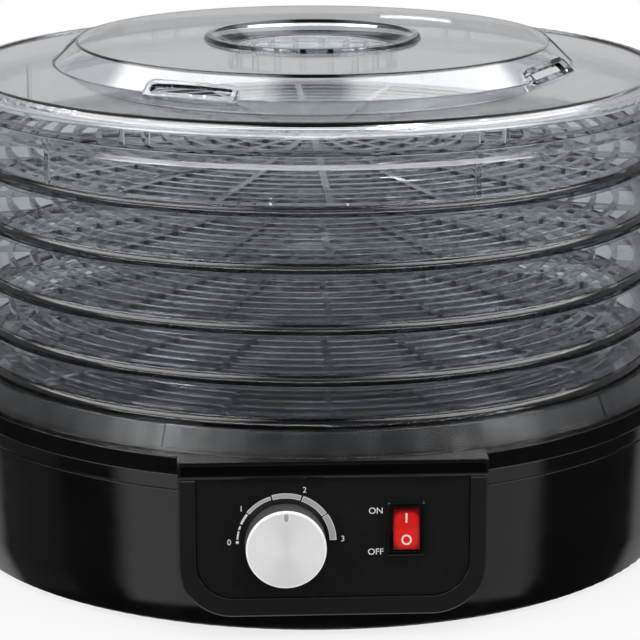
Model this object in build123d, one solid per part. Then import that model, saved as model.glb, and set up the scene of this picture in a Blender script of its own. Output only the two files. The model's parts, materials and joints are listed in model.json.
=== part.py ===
from build123d import *
import os
from math import asin, cos, degrees, hypot, radians, sin, tan

# Food dehydrator on its table: +Z up, the stack's axis on Z, the control panel facing -Y.
# All sizes are millimetres. Azimuths are degrees from the front, positive towards +X.

# Clearances
FIT_GAP = 0.4          # loose fit between mouldings
SEAT_GAP = 0.03        # fixed round seat
RUN_GAP = 0.05         # running fit of a shaft

# Base
FOOT_STAND = 2.0       # table to the housing's lower edge
BASE_R_LOW = 159.6
BASE_FLARE = 3.1
BASE_WALL = 2.6
BASE_EDGE = 0.9
RIM_EDGE = 0.65
HOUSING_H = 64.3
DECK_RIM_H = 7.7
DECK_RIM_LEAN = 0.5
DECK_T = 2.5
DECK_SINK = 3.5        # rim top to the deck's upper face
DECK_SPIGOT = 4.0
GROOVE_DROP = 6.3      # deck joint to the housing's trim groove
GROOVE_W = 0.8
COVER_T = 2.5
COVER_SINK = 0.5       # housing's lower edge to the cover's lower face
LEDGE_T = 2.5
LEDGE_W = 10.0
POST_INSET = 40.0      # base's lower radius to the deck posts
POST_R = 4.5
POST_COUNT = 6
POST_AZIMUTH = 30.0
FOOT_R = 7.5
FOOT_INSET = 13.0
FOOT_AZIMUTHS = (-28.0, 28.0, 152.0, 208.0)
FOOT_PEG_R = 2.5
FOOT_EDGE = 0.5

# Air holes in the deck
HOLE_GROUPS = 4
HOLES_PER_GROUP = 14
HOLE_W = 2.2
HOLE_L = 6.0
HOLE_PITCH = 3.6
HOLE_INSET = 31.0      # base's top radius to the row's middle
HOLE_GROUP_AZIMUTH = 10.0

# Air path and fan
DUCT_R = 52.0
DUCT_WALL = 2.0
OUTLET_LAP = 4.0
OUTLET_T = 2.5
OUTLET_ROWS = 4
OUTLET_SPOKES = 20
OUTLET_HUB_R = 16.0
INTAKE_ROWS = ((12.0, 20.0), (23.0, 31.0), (42.0, 47.5))
INTAKE_SPOKES = 16
GRILLE_WEB = 3.0
SHIELD_T = 0.8
SHIELD_H = 11.5
SHIELD_GAP = 0.4
CORE_X = 50.0
CORE_FRONT = 18.0
CORE_BACK = 30.0
CORE_H = 12.0
CORE_LEG = 7.5
COIL_WINDOW = 8.0
COIL_T = 5.0
COIL_W = 27.0
BRACKET_T = 1.6
BRACKET_W = 15.0
BRACKET_LEG = 4.0
MOTOR_POST_H = 7.0
MOTOR_POST_X = 36.5
MOTOR_POST_R = 4.0
LEG_H = 4.5
SHAFT_R = 2.0
BUSH_R = 4.0
BUSH_H = 5.0
ROTOR_R = 12.4
AIR_GAP = 0.5
SHAFT_TAIL = 1.5       # shaft end below the lower bush
IMPELLER_R = 44.0
IMPELLER_HUB_R = 9.0
IMPELLER_H = 11.0
BLADE_COUNT = 7
BLADE_T = 1.6
BLADE_TILT = 35.0
FAN_CLEAR = 3.5        # impeller to the heater

# Heater
HEATER_R = 36.0
HEATER_TUBE_R = 3.0
HEATER_DROP = 7.0      # deck's underside to the heater's middle
HEATER_GAP_X = 9.0     # half distance between the heater's legs
HEATER_BUSH_R = 5.0
HEATER_BUSH_L = 7.0
HEATER_LEG_PAST = 5.0
HEATER_BUSH_PAST = 2.5
CLIP_T = 1.2
CLIP_W = 8.0
CLIP_AZIMUTHS = (-60.0, 0.0, 60.0)
FUSE_R = 2.5
FUSE_L = 12.0
FUSE_SADDLE = 6.0
FUSE_SADDLE_L = 8.0

# Control panel
PANEL_PROUD = 2.3      # panel's border in front of the base's top radius
HOOD_PROUD = 1.5
HOOD_OVER = 1.8        # hood's top above the base's rim
HOOD_H = 7.0
BORDER_W = 7.5
BORDER_LOW = 8.2
PANEL_LOW = 8.3        # border's lower edge above the housing's lower edge
BEZEL_CORNER = 22.0
BEZEL_EDGE = 1.0
PLATE_W = 109.8
PLATE_T = 1.2
PLATE_SINK = 0.6
PLATE_CORNER = 15.0
BEZEL_BACKING = 2.7
WINDOW_MARGIN = 5.0
BEZEL_SCREW_IN = 3.0   # border's outer edge to the screw's side
BEZEL_BOSS_L = 7.0
BEZEL_BITE = 7.0

# Thermostat and knob
KNOB_X = -19.3
KNOB_DROP = 1.5        # plate's middle height down to the knob's axis
KNOB_R = 16.3
KNOB_H = 10.4
KNOB_LIFT = 0.6        # plate to the knob's back
KNOB_FACE_T = 1.2
KNOB_FACE_INSET = 0.15
KNOB_FACE_EDGE = 0.8
KNOB_WALL = 2.4
KNOB_CROWN = 1.2       # knob's front over the shaft's end
POINTER_W = 1.8
POINTER_L = 4.0
POINTER_EDGE = 0.5
POINTER_DEPTH = 0.4
STEM_R = 3.0           # thermostat shaft
STEM_SEAT = 8.0        # shaft's length inside the thermostat
BUSHING_R = 4.5
BUSHING_OUT = 3.0
NUT_AF = 13.0
NUT_T = 2.2
THERMOSTAT_W = 34.0
THERMOSTAT_H = 26.0
THERMOSTAT_D = 18.0
THERMOSTAT_CORNER = 2.4

# Rocker switch
SWITCH_X = 29.4
SWITCH_RISE = 3.5      # plate's middle height up to the switch's middle
SWITCH_W = 15.4
SWITCH_H = 22.6
SWITCH_RIM = 1.1       # flange beyond the case
SWITCH_RIM_T = 1.8
SWITCH_EDGE = 0.45
SWITCH_CASE_WALL = 1.0
SWITCH_CASE_D = 17.0
ROCKER_GAP = 0.3
ROCKER_TILT = 9.0
ROCKER_DIP = 2.0       # pivot to the rocker's middle face
ROCKER_BACK = 4.5
TRUNNION_R = 1.2
TRUNNION_OUT = 0.8

# Cord gland and terminals
GLAND_RISE = 22.0
GLAND_FLANGE_R = 9.0
GLAND_FLANGE_T = 3.0
GLAND_NECK_R = 6.5
GLAND_NECK_L = 9.0
GLAND_BODY_R = 6.0
GLAND_BODY_IN = 9.0
GLAND_BORE_R = 3.6
TERMINAL_L = 30.0
TERMINAL_W = 16.0
TERMINAL_H = 14.0
TERMINAL_INSET = 44.0
TERMINAL_WAYS = 3
TERMINAL_HOLE_R = 2.6

# Screws
SCREW_R = 1.5
SCREW_HEAD_R = 3.2
SCREW_HEAD_H = 2.2
SCREW_CLEAR = 0.25
SCREW_EDGE = 0.7
SCREW_SLOT_W = 0.8
SCREW_SLOT_DEPTH = 0.75
SCREW_TIP_GAP = 1.0
CASE_SCREW_BITE = 12.0
MOTOR_SCREW_BITE = 5.0

# Base ring
RING_H = 11.4
RING_FLANGE_T = 1.9
RING_FLANGE_LEAN = 0.305
RING_STEP = 0.8
RING_WALL = 2.2
RING_LAND_T = 1.8
RING_SPIGOT = 2.4
RING_SPIGOT_T = 1.8
RING_PROUD = 1.5       # ring's top edge beyond the tray's band
POCKET_COUNT = 6
POCKET_AZIMUTH = -19.0
POCKET_SPAN = 12.7
POCKET_DEPTH = 0.6
POCKET_LOW = 3.0       # ring's lower face to the pocket's lower edge

# Trays, lowest first
TRAY_PITCHES = (18.0, 21.2, 25.0, 23.1, 24.5)
TRAY_R = 153.0
TRAY_WALL = 1.8
BAND_PROUD = 2.0
BAND_FACE_H = 2.3
BAND_H = 4.6           # foot to the top of the sloping shoulder
BAND_ROUND = 2.0
BAND_EDGE = 0.5
TRAY_LEDGE_H = 1.8
TRAY_LEDGE_W = 2.2
TRAY_SPIGOT = 2.4
TRAY_EDGE = 0.5
RIB_ROOT = 0.6         # depth of an upright rib's root in its wall
GRID_T = 2.2
GRID_ROWS = 13
GRID_SPOKES = 20
GRID_RIM = 6.5
GRID_RIB = 2.6
GRID_SPOKE = 3.0
GRID_HUB_R = 18.0
GRID_HUB_HOLE_R = 14.0
WALL_RIB_COUNT = 5      # ribs inside the top tray's wall
WALL_RIB_AZIMUTH = -48.9
WALL_RIB_W = 2.4
WALL_RIB_DEPTH = 1.2

# Lid
LID_WALL = 2.0
LID_PROUD = 3.0        # skirt beyond the tray's band
LID_LEAN = 0.7
SKIRT_DROP = 4.6       # seat to the skirt's lower edge
SKIRT_FLARE = 0.27     # outward lean of the skirt's lowest part
SKIRT_FLARE_H = 2.0
LID_RISE = 13.5        # seat to the rim's crest
RIM_ROUND = 5.5
RIM_CREST_W = 6.3
RIM_STEP = 0.8
ANNULUS_RISE = 2.4
PLATEAU_FOOT_R = 114.6
PLATEAU_TOP_R = 104.5
PLATEAU_H = 9.6
PLATEAU_EDGE = 1.4
LID_SEAT_T = 2.2
VENT_LIP_R = 48.2
VENT_LIP_W = 2.8
VENT_LIP_H = 1.8
VENT_LIP_LEAN = 0.9
VENT_LIP_EDGE = 0.6
VENT_R = 36.0
VENT_FUNNEL = 5.4
COLLAR_H = 10.5
COLLAR_WALL = 1.8
COLLAR_BARS = 20
COLLAR_BAR_W = 2.2
COLLAR_RING_H = 1.8
SLOT_COUNT = 4
SLOT_AZIMUTH = -29.2
SLOT_DROP = 3.7        # slope's middle line down to the slot's
SLOT_L = 38.5
SLOT_W = 4.4
SLOT_FRAME = 1.9
SLOT_PROUD = 0.9
SLOT_SINK = 1.7        # frame into the sloping wall, at the slot's middle
SLOT_FOOT = 3.0        # frame's legs below the plateau's foot
SLOT_CORNER = 1.6
GUIDE_AZIMUTHS = (-30.0, 25.0, 150.0, 205.0)   # pairs of guide ribs in the rim
GUIDE_SPREAD = 12.0
GUIDE_W = 1.8
GUIDE_DEPTH = 1.4

# Levels from the table up
EDGE_Z = FOOT_STAND
COVER_LOW = EDGE_Z + COVER_SINK
COVER_TOP = COVER_LOW + COVER_T
JOINT_Z = EDGE_Z + HOUSING_H
DECK_TOP = JOINT_Z + DECK_RIM_H
DECK_FACE = DECK_TOP - DECK_SINK
DECK_UNDER = DECK_FACE - DECK_T
RING_TOP = DECK_TOP + RING_H
TRAY_Z = tuple(RING_TOP + sum(TRAY_PITCHES[:i]) for i in range(len(TRAY_PITCHES)))
LID_SEAT = RING_TOP + sum(TRAY_PITCHES)
HEATER_Z = DECK_UNDER - HEATER_DROP
IMPELLER_TOP = HEATER_Z - HEATER_TUBE_R - CLIP_T - FAN_CLEAR
BRACKET_Z = COVER_TOP + MOTOR_POST_H
CORE_LOW = BRACKET_Z + BRACKET_T + LEG_H
CORE_TOP = CORE_LOW + CORE_H
UPPER_BRACKET_Z = CORE_TOP + LEG_H

# Radii that several pieces share
BASE_R_TOP = BASE_R_LOW + BASE_FLARE
RIM_R = BASE_R_TOP - DECK_RIM_LEAN
RIM_IN = RIM_R - BASE_WALL
BAND_R = TRAY_R + BAND_PROUD
TRAY_IN = TRAY_R - TRAY_WALL
TRAY_SPIGOT_R = TRAY_IN - FIT_GAP
LID_R = BAND_R + LID_PROUD
OUTLET_R = DUCT_R - DUCT_WALL
POST_PCR = BASE_R_LOW - POST_INSET

# Planes of the control panel, as distances in front of the axis
PANEL_FRONT = BASE_R_TOP + PANEL_PROUD
PLATE_FRONT = PANEL_FRONT - PLATE_SINK
PLATE_BACK = PLATE_FRONT - PLATE_T
BEZEL_BACK = PLATE_BACK - BEZEL_BACKING
HOOD_TOP = DECK_TOP + HOOD_OVER
HOOD_LOW = HOOD_TOP - HOOD_H
BEZEL_LOW = EDGE_Z + PANEL_LOW
BEZEL_W = PLATE_W + 2 * BORDER_W
PLATE_LOW = BEZEL_LOW + BORDER_LOW
PLATE_HIGH = HOOD_LOW - FIT_GAP
PLATE_MID = (PLATE_LOW + PLATE_HIGH) / 2
KNOB_Z = PLATE_MID - KNOB_DROP
SWITCH_Z = PLATE_MID + SWITCH_RISE
SWITCH_FRONT = PLATE_FRONT + SWITCH_RIM_T
ROCKER_PIVOT = SWITCH_FRONT - ROCKER_DIP
SWITCH_CASE_W = SWITCH_W - 2 * SWITCH_RIM
SWITCH_CASE_H = SWITCH_H - 2 * SWITCH_RIM
GLAND_Z = EDGE_Z + GLAND_RISE
BEZEL_BOSS_R = SCREW_HEAD_R + SCREW_R


def polar(radius, azimuth, z=0.0):
    """Point at a radius and an azimuth from the front."""
    return (radius * sin(radians(azimuth)), -radius * cos(radians(azimuth)), z)


def turned(points, rounds=()):
    """Solid of revolution about Z from (radius, height) corners, some of them rounded."""
    face = make_face(Polyline(*[(r, 0, z) for r, z in points], close=True)).face()
    for (r, z), radius in rounds:
        corner = face.vertices().sort_by_distance((r, 0, z))[0]
        face = face.fillet_2d(radius, [corner])
    return revolve(face, Axis.Z)


def upright(radius, low, high, x=0.0, y=0.0):
    """Cylinder along Z between two heights."""
    return Pos(x, y, (low + high) / 2) * Cylinder(radius, high - low)


def along_y(radius, near, far, x, z):
    """Cylinder along Y between two distances in front of the axis."""
    return Pos(x, -(near + far) / 2, z) * Rot(90, 0, 0) * Cylinder(radius, abs(far - near))


def block(x_range, y_range, z_range):
    """Box between two limits on each axis."""
    spans = (x_range, y_range, z_range)
    middle = [(low + high) / 2 for low, high in spans]
    return Pos(*middle) * Box(*[high - low for low, high in spans])


def front_slab(sketch, near, far):
    """Sketch in X and Z made solid between two distances in front of the axis."""
    return extrude(Plane.XZ.offset(near) * sketch, far - near)


def panel_sketch(width, low, high, corner):
    """Panel outline: square at the top, round at its lower corners."""
    plain = Pos(0, (low + high) / 2) * Rectangle(width, high - low)
    return fillet(plain.vertices().group_by(Axis.Y)[0], corner)


def sector_wire(r_in, r_out, start, end, spoke):
    """Outline of one gap between two ribs and two spokes of even width."""
    def corner(r, angle, side):
        turn = radians(angle) + side * asin(spoke / 2 / r)
        return (r * cos(turn), r * sin(turn))

    def middle(r):
        turn = radians((start + end) / 2)
        return (r * cos(turn), r * sin(turn))

    a, b = corner(r_in, start, 1), corner(r_in, end, -1)
    c, d = corner(r_out, end, -1), corner(r_out, start, 1)
    return Wire([
        ThreePointArc(a, middle(r_in), b).edge(),
        Line(b, c).edge(),
        ThreePointArc(c, middle(r_out), d).edge(),
        Line(d, a).edge(),
    ])


def grille(radius, rows, spokes, spoke, thickness, hole_r=0.0):
    """Flat disc with rows of gaps between concentric ribs and radial spokes."""
    step = 360 / spokes
    gaps = [sector_wire(r_in, r_out, k * step, (k + 1) * step, spoke)
            for r_in, r_out in rows for k in range(spokes)]
    if hole_r:
        gaps.append(Wire.make_circle(hole_r))
    return extrude(Face(Wire.make_circle(radius), gaps), thickness, dir=(0, 0, 1))


def even_rows(r_in, r_out, count, rib):
    """Rows of gaps of one width, a rib apart."""
    pitch = (r_out - r_in + rib) / count
    return [(r_in + i * pitch, r_in + (i + 1) * pitch - rib) for i in range(count)]


def housing_in(z):
    """Inner radius of the housing's wall at a height."""
    slope = BASE_FLARE / HOUSING_H
    return BASE_R_LOW + slope * (z - EDGE_Z) - BASE_WALL


def post_places():
    """Axes of the deck's posts."""
    return [polar(POST_PCR, POST_AZIMUTH + k * 360 / POST_COUNT) for k in range(POST_COUNT)]


def bezel_screw_places():
    """X and Z of the bezel's screws, in its side borders."""
    x = BEZEL_W / 2 - BEZEL_SCREW_IN - SCREW_R
    low = BEZEL_LOW + BEZEL_CORNER
    high = JOINT_Z - DECK_SPIGOT - BEZEL_BOSS_R - FIT_GAP
    return [(side * x, z) for side in (-1, 1) for z in (low, high)]


def bezel_seat(x):
    """Distance in front of the axis where a bezel screw's head seats."""
    wall = housing_in(BEZEL_LOW)
    reach = abs(x) + BEZEL_BOSS_R
    return (wall ** 2 - reach ** 2) ** 0.5 - BEZEL_BOSS_L


def base_core(skin):
    """Solid of the base's outer form, with a skin around it."""
    return turned([
        (0, EDGE_Z - skin), (BASE_R_LOW + skin, EDGE_Z - skin), (BASE_R_TOP + skin, JOINT_Z),
        (BASE_R_TOP + skin, HOOD_TOP + BASE_WALL), (0, HOOD_TOP + BASE_WALL),
    ])


def window_sketch(gap):
    """Opening behind the panel plate."""
    width = PLATE_W - 2 * WINDOW_MARGIN + 2 * gap
    low, high = PLATE_LOW + WINDOW_MARGIN - gap, PLATE_HIGH - WINDOW_MARGIN + gap
    return Pos(0, (low + high) / 2) * Rectangle(width, high - low)


def base_housing():
    ledge_top = COVER_TOP + LEDGE_T
    ledge_r = housing_in(COVER_TOP) - LEDGE_W
    shell = turned([
        (BASE_R_LOW, EDGE_Z), (BASE_R_TOP, JOINT_Z), (BASE_R_TOP - BASE_WALL, JOINT_Z),
        (housing_in(ledge_top), ledge_top), (ledge_r, ledge_top), (ledge_r, COVER_TOP),
        (housing_in(COVER_TOP), COVER_TOP), (BASE_R_LOW - BASE_WALL, EDGE_Z),
    ], [((BASE_R_LOW, EDGE_Z), BASE_EDGE)])
    groove_z = JOINT_Z - GROOVE_DROP
    groove_r = housing_in(groove_z) + BASE_WALL
    shell -= turned([
        (groove_r - GROOVE_W, groove_z), (groove_r + GROOVE_W, groove_z - GROOVE_W),
        (groove_r + GROOVE_W, groove_z + GROOVE_W),
    ])
    inside = base_core(0)
    for x, z in bezel_screw_places():
        boss = along_y(BEZEL_BOSS_R, bezel_seat(x), BASE_R_TOP, x, z)
        shell += boss & inside
    for x, z in bezel_screw_places():
        shell -= along_y(SCREW_R + SCREW_CLEAR, bezel_seat(x), PANEL_FRONT, x, z)
    shell -= front_slab(window_sketch(FIT_GAP), POST_PCR, PANEL_FRONT)
    return shell - along_y(GLAND_BODY_R + SEAT_GAP, -POST_PCR, -PANEL_FRONT, 0, GLAND_Z)


def base_deck():
    spigot_low = JOINT_Z - DECK_SPIGOT
    spigot_r = housing_in(spigot_low) - FIT_GAP
    deck = turned([
        (BASE_R_TOP, JOINT_Z), (RIM_R, DECK_TOP), (RIM_IN, DECK_TOP), (RIM_IN, DECK_FACE),
        (OUTLET_R, DECK_FACE), (OUTLET_R, DECK_UNDER), (spigot_r - BASE_WALL, DECK_UNDER),
        (spigot_r - BASE_WALL, spigot_low), (spigot_r, spigot_low), (spigot_r, JOINT_Z),
    ], [((RIM_R, DECK_TOP), RIM_EDGE)])
    for x, y, _ in post_places():
        deck += upright(POST_R, COVER_TOP, DECK_UNDER, x, y)
    for x, y, _ in post_places():
        deck -= upright(SCREW_R + SEAT_GAP, COVER_TOP, COVER_TOP + CASE_SCREW_BITE, x, y)
    row_r = BASE_R_TOP - HOLE_INSET
    step = degrees(HOLE_PITCH / row_r)
    hole = Pos(0, -row_r, DECK_FACE) * Box(HOLE_W, HOLE_L, 4 * DECK_T)
    turns = [HOLE_GROUP_AZIMUTH + g * 360 / HOLE_GROUPS + (k - (HOLES_PER_GROUP - 1) / 2) * step
             for g in range(HOLE_GROUPS) for k in range(HOLES_PER_GROUP)]
    return deck - [Rot(0, 0, turn) * hole for turn in turns]


def outlet_grille():
    rows = even_rows(OUTLET_HUB_R, OUTLET_R - GRILLE_WEB, OUTLET_ROWS, GRILLE_WEB)
    disc = grille(OUTLET_R + OUTLET_LAP, rows, OUTLET_SPOKES, GRILLE_WEB, OUTLET_T)
    return Pos(0, 0, DECK_FACE) * disc


def bottom_cover():
    cover = grille(housing_in(EDGE_Z) - FIT_GAP, INTAKE_ROWS, INTAKE_SPOKES, GRILLE_WEB, COVER_T)
    cover = Pos(0, 0, COVER_LOW) * cover
    for side in (-1, 1):
        x = side * MOTOR_POST_X
        cover += upright(MOTOR_POST_R, COVER_TOP, BRACKET_Z, x)
        cover -= upright(SCREW_R + SEAT_GAP, BRACKET_Z - MOTOR_SCREW_BITE, BRACKET_Z, x)
    for x, y, _ in post_places():
        cover -= upright(SCREW_R + SCREW_CLEAR, COVER_LOW, COVER_TOP, x, y)
    for azimuth in FOOT_AZIMUTHS:
        x, y, _ = polar(BASE_R_LOW - FOOT_INSET, azimuth)
        cover -= upright(FOOT_PEG_R + SEAT_GAP, COVER_LOW, COVER_TOP, x, y)
    return cover


def rubber_feet():
    feet = []
    for azimuth in FOOT_AZIMUTHS:
        x, y, _ = polar(BASE_R_LOW - FOOT_INSET, azimuth)
        foot = upright(FOOT_R, 0, COVER_LOW, x, y)
        foot = chamfer(foot.edges().group_by(Axis.Z)[0], FOOT_EDGE)
        feet.append(foot + upright(FOOT_PEG_R, COVER_LOW, COVER_TOP, x, y))
    return feet


def panel_bezel():
    border = front_slab(panel_sketch(BEZEL_W, BEZEL_LOW, HOOD_LOW, BEZEL_CORNER),
                        POST_PCR, PANEL_FRONT)
    border = fillet(border.faces().sort_by(Axis.Y)[0].edges(), BEZEL_EDGE)
    hood_sketch = Pos(0, (HOOD_LOW + HOOD_TOP) / 2) * Rectangle(BEZEL_W, HOOD_H)
    hood = front_slab(hood_sketch, POST_PCR, PANEL_FRONT + HOOD_PROUD)
    hood = chamfer(hood.faces().sort_by(Axis.Y)[0].edges(), BEZEL_EDGE)
    bezel = border + hood - base_core(FIT_GAP / 2)
    bezel -= front_slab(window_sketch(0), POST_PCR, BEZEL_BACK)
    bezel += front_slab(window_sketch(0), BEZEL_BACK, PLATE_BACK)
    recess = panel_sketch(PLATE_W + 2 * FIT_GAP, PLATE_LOW - FIT_GAP, HOOD_LOW,
                          PLATE_CORNER + FIT_GAP)
    bezel -= front_slab(recess, PLATE_BACK, PANEL_FRONT)
    for x, z in bezel_screw_places():
        tip = bezel_seat(x) + BEZEL_BOSS_L + BASE_WALL + BEZEL_BITE
        bezel -= along_y(SCREW_R + SEAT_GAP, POST_PCR, tip, x, z)
    return bezel - panel_holes(BEZEL_BACK)


def panel_holes(back):
    """Shaft hole and switch cut-out from a plane behind the panel to its front."""
    cutout = Pos(SWITCH_X, SWITCH_Z) * Rectangle(SWITCH_CASE_W + FIT_GAP, SWITCH_CASE_H + FIT_GAP)
    return [
        along_y(BUSHING_R + RUN_GAP, back, PANEL_FRONT, KNOB_X, KNOB_Z),
        front_slab(cutout, back, PANEL_FRONT),
    ]


def panel_plate():
    outline = panel_sketch(PLATE_W, PLATE_LOW, PLATE_HIGH, PLATE_CORNER)
    return front_slab(outline, PLATE_BACK, PLATE_FRONT) - panel_holes(PLATE_BACK)


def thermostat_body():
    back = BEZEL_BACK - THERMOSTAT_D
    sketch = Pos(KNOB_X, KNOB_Z) * RectangleRounded(THERMOSTAT_W, THERMOSTAT_H, THERMOSTAT_CORNER)
    body = front_slab(sketch, back, BEZEL_BACK)
    body += along_y(BUSHING_R, BEZEL_BACK, PLATE_FRONT + BUSHING_OUT, KNOB_X, KNOB_Z)
    return body - along_y(STEM_R + RUN_GAP, BEZEL_BACK - STEM_SEAT, PANEL_FRONT + BUSHING_OUT,
                          KNOB_X, KNOB_Z)


def thermostat_nut():
    sketch = RegularPolygon(NUT_AF / 2, 6, major_radius=False) - Circle(BUSHING_R + SEAT_GAP)
    return front_slab(Pos(KNOB_X, KNOB_Z) * sketch, PLATE_FRONT, PLATE_FRONT + NUT_T)


def thermostat_shaft():
    knob_front = PLATE_FRONT + KNOB_LIFT + KNOB_H - KNOB_FACE_T
    return along_y(STEM_R, BEZEL_BACK - STEM_SEAT, knob_front - KNOB_CROWN, KNOB_X, KNOB_Z)


def knob_body():
    back = PLATE_FRONT + KNOB_LIFT
    front = back + KNOB_H - KNOB_FACE_T
    knob = along_y(KNOB_R, back, front, KNOB_X, KNOB_Z)
    hollow_end = front - KNOB_WALL
    knob -= along_y(KNOB_R - KNOB_WALL, back, hollow_end, KNOB_X, KNOB_Z)
    knob += along_y(STEM_R + KNOB_WALL, PLATE_FRONT + BUSHING_OUT + KNOB_LIFT, front, KNOB_X, KNOB_Z)
    return knob - along_y(STEM_R + SEAT_GAP, back, front - KNOB_CROWN, KNOB_X, KNOB_Z)


def knob_face():
    back = PLATE_FRONT + KNOB_LIFT + KNOB_H - KNOB_FACE_T
    front = back + KNOB_FACE_T
    face = along_y(KNOB_R - KNOB_FACE_INSET, back, front, KNOB_X, KNOB_Z)
    face = chamfer(face.edges().group_by(Axis.Y)[0], KNOB_FACE_EDGE)
    middle = KNOB_Z + KNOB_R - KNOB_FACE_INSET - POINTER_EDGE - POINTER_L / 2
    mark = Pos(KNOB_X, middle) * Rot(0, 0, 90) * SlotOverall(POINTER_L, POINTER_W)
    return face - front_slab(mark, front - POINTER_DEPTH, front + POINTER_DEPTH)


def switch_case():
    back = PLATE_FRONT - SWITCH_CASE_D
    flange = front_slab(Pos(SWITCH_X, SWITCH_Z) * RectangleRounded(SWITCH_W, SWITCH_H, SWITCH_RIM),
                        PLATE_FRONT, SWITCH_FRONT)
    flange = chamfer(flange.faces().sort_by(Axis.Y)[0].edges(), SWITCH_EDGE)
    case = flange + front_slab(Pos(SWITCH_X, SWITCH_Z) * Rectangle(SWITCH_CASE_W, SWITCH_CASE_H),
                               back, PLATE_FRONT)
    cavity = Pos(SWITCH_X, SWITCH_Z) * Rectangle(SWITCH_CASE_W - 2 * SWITCH_CASE_WALL,
                                                 SWITCH_CASE_H - 2 * SWITCH_CASE_WALL)
    case -= front_slab(cavity, back + SWITCH_CASE_WALL, SWITCH_FRONT)
    return case - Pos(SWITCH_X, -ROCKER_PIVOT, SWITCH_Z) * Rot(0, 90, 0) * Cylinder(
        TRUNNION_R + RUN_GAP, SWITCH_CASE_W)


def rocker_button():
    radius = SWITCH_CASE_H / 2 - SWITCH_CASE_WALL - ROCKER_GAP
    width = SWITCH_CASE_W - 2 * SWITCH_CASE_WALL - 2 * ROCKER_GAP
    far = ROCKER_DIP + radius * tan(radians(ROCKER_TILT))
    outline = Polyline((ROCKER_BACK, -radius), (ROCKER_BACK, radius), (-far, radius),
                       (-ROCKER_DIP, 0), (-far, -radius), close=True)
    paddle = extrude(Plane.YZ * make_face(outline), width / 2, both=True)
    round_bar = Rot(0, 90, 0) * Cylinder(radius, width)
    pin = Rot(0, 90, 0) * Cylinder(TRUNNION_R, width + 2 * (ROCKER_GAP + TRUNNION_OUT))
    rocker = Rot(-ROCKER_TILT, 0, 0) * ((paddle & round_bar) + pin)
    return Pos(SWITCH_X, -ROCKER_PIVOT, SWITCH_Z) * rocker


def cord_gland():
    seat = housing_in(GLAND_Z + GLAND_FLANGE_R) + BASE_WALL
    gland = along_y(GLAND_FLANGE_R, -seat, -(seat + GLAND_FLANGE_T), 0, GLAND_Z)
    outer = seat + GLAND_FLANGE_T + GLAND_NECK_L
    gland += along_y(GLAND_NECK_R, -(seat + GLAND_FLANGE_T), -outer, 0, GLAND_Z)
    gland += along_y(GLAND_BODY_R, -(seat - GLAND_BODY_IN), -seat, 0, GLAND_Z)
    return gland - along_y(GLAND_BORE_R, -(seat - GLAND_BODY_IN), -outer, 0, GLAND_Z)


def terminal_block():
    y = BASE_R_LOW - TERMINAL_INSET
    body = block((-TERMINAL_L / 2, TERMINAL_L / 2), (y - TERMINAL_W / 2, y + TERMINAL_W / 2),
                 (COVER_TOP, COVER_TOP + TERMINAL_H))
    pitch = TERMINAL_L / TERMINAL_WAYS
    for k in range(TERMINAL_WAYS):
        x = (k - (TERMINAL_WAYS - 1) / 2) * pitch
        body -= upright(TERMINAL_HOLE_R, COVER_TOP + TERMINAL_H / 2, COVER_TOP + TERMINAL_H, x, y)
    return body


def air_duct():
    duct = turned([(DUCT_R, COVER_TOP), (DUCT_R, DECK_UNDER), (OUTLET_R, DECK_UNDER),
                   (OUTLET_R, COVER_TOP)])
    for side in (-1, 1):
        duct -= along_y(HEATER_BUSH_R + SEAT_GAP, 0, -2 * DUCT_R, side * HEATER_GAP_X, HEATER_Z)
    return duct


def shield_r():
    """Inner radius of the heat shield."""
    return OUTLET_R - SHIELD_GAP - SHIELD_T


def heat_shield():
    r_in = shield_r()
    low = DECK_UNDER - SHIELD_H
    shield = turned([(r_in + SHIELD_T, low), (r_in + SHIELD_T, DECK_UNDER), (r_in, DECK_UNDER),
                     (r_in, low)])
    for side in (-1, 1):
        shield -= along_y(HEATER_BUSH_R + SEAT_GAP, 0, -2 * DUCT_R, side * HEATER_GAP_X, HEATER_Z)
    return shield


def heater_element():
    start = degrees(asin(HEATER_GAP_X / HEATER_R))
    leg_y = HEATER_R * cos(radians(start))
    ring = CenterArc((0, 0, HEATER_Z), HEATER_R, 90 + start, 360 - 2 * start)
    section = Plane(origin=ring @ 0, z_dir=ring % 0) * Circle(HEATER_TUBE_R)
    element = sweep(section, ring)
    end = DUCT_R + HEATER_LEG_PAST
    for side in (-1, 1):
        element += along_y(HEATER_TUBE_R, -leg_y, -end, side * HEATER_GAP_X, HEATER_Z)
        element += Pos(side * HEATER_GAP_X, leg_y, HEATER_Z) * Sphere(HEATER_TUBE_R)
    return element


def heater_bushes():
    end = DUCT_R + HEATER_BUSH_PAST
    return [
        along_y(HEATER_BUSH_R, -(end - HEATER_BUSH_L), -end, side * HEATER_GAP_X, HEATER_Z)
        - along_y(HEATER_TUBE_R + SEAT_GAP, -(end - HEATER_BUSH_L), -end, side * HEATER_GAP_X, HEATER_Z)
        for side in (-1, 1)
    ]


def heater_clips():
    top = HEATER_Z - HEATER_TUBE_R
    reach = block((-CLIP_W / 2, CLIP_W / 2), (-DUCT_R, -HEATER_R + HEATER_TUBE_R),
                  (top - CLIP_T, top))
    tab = block((-CLIP_W / 2, CLIP_W / 2), (-DUCT_R, -shield_r() + 2 * CLIP_T),
                (top, top + HEATER_TUBE_R))
    clip = (reach + tab) & upright(shield_r() - SEAT_GAP, top - CLIP_T, DECK_UNDER)
    return [Rot(0, 0, azimuth) * clip for azimuth in CLIP_AZIMUTHS]


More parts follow.
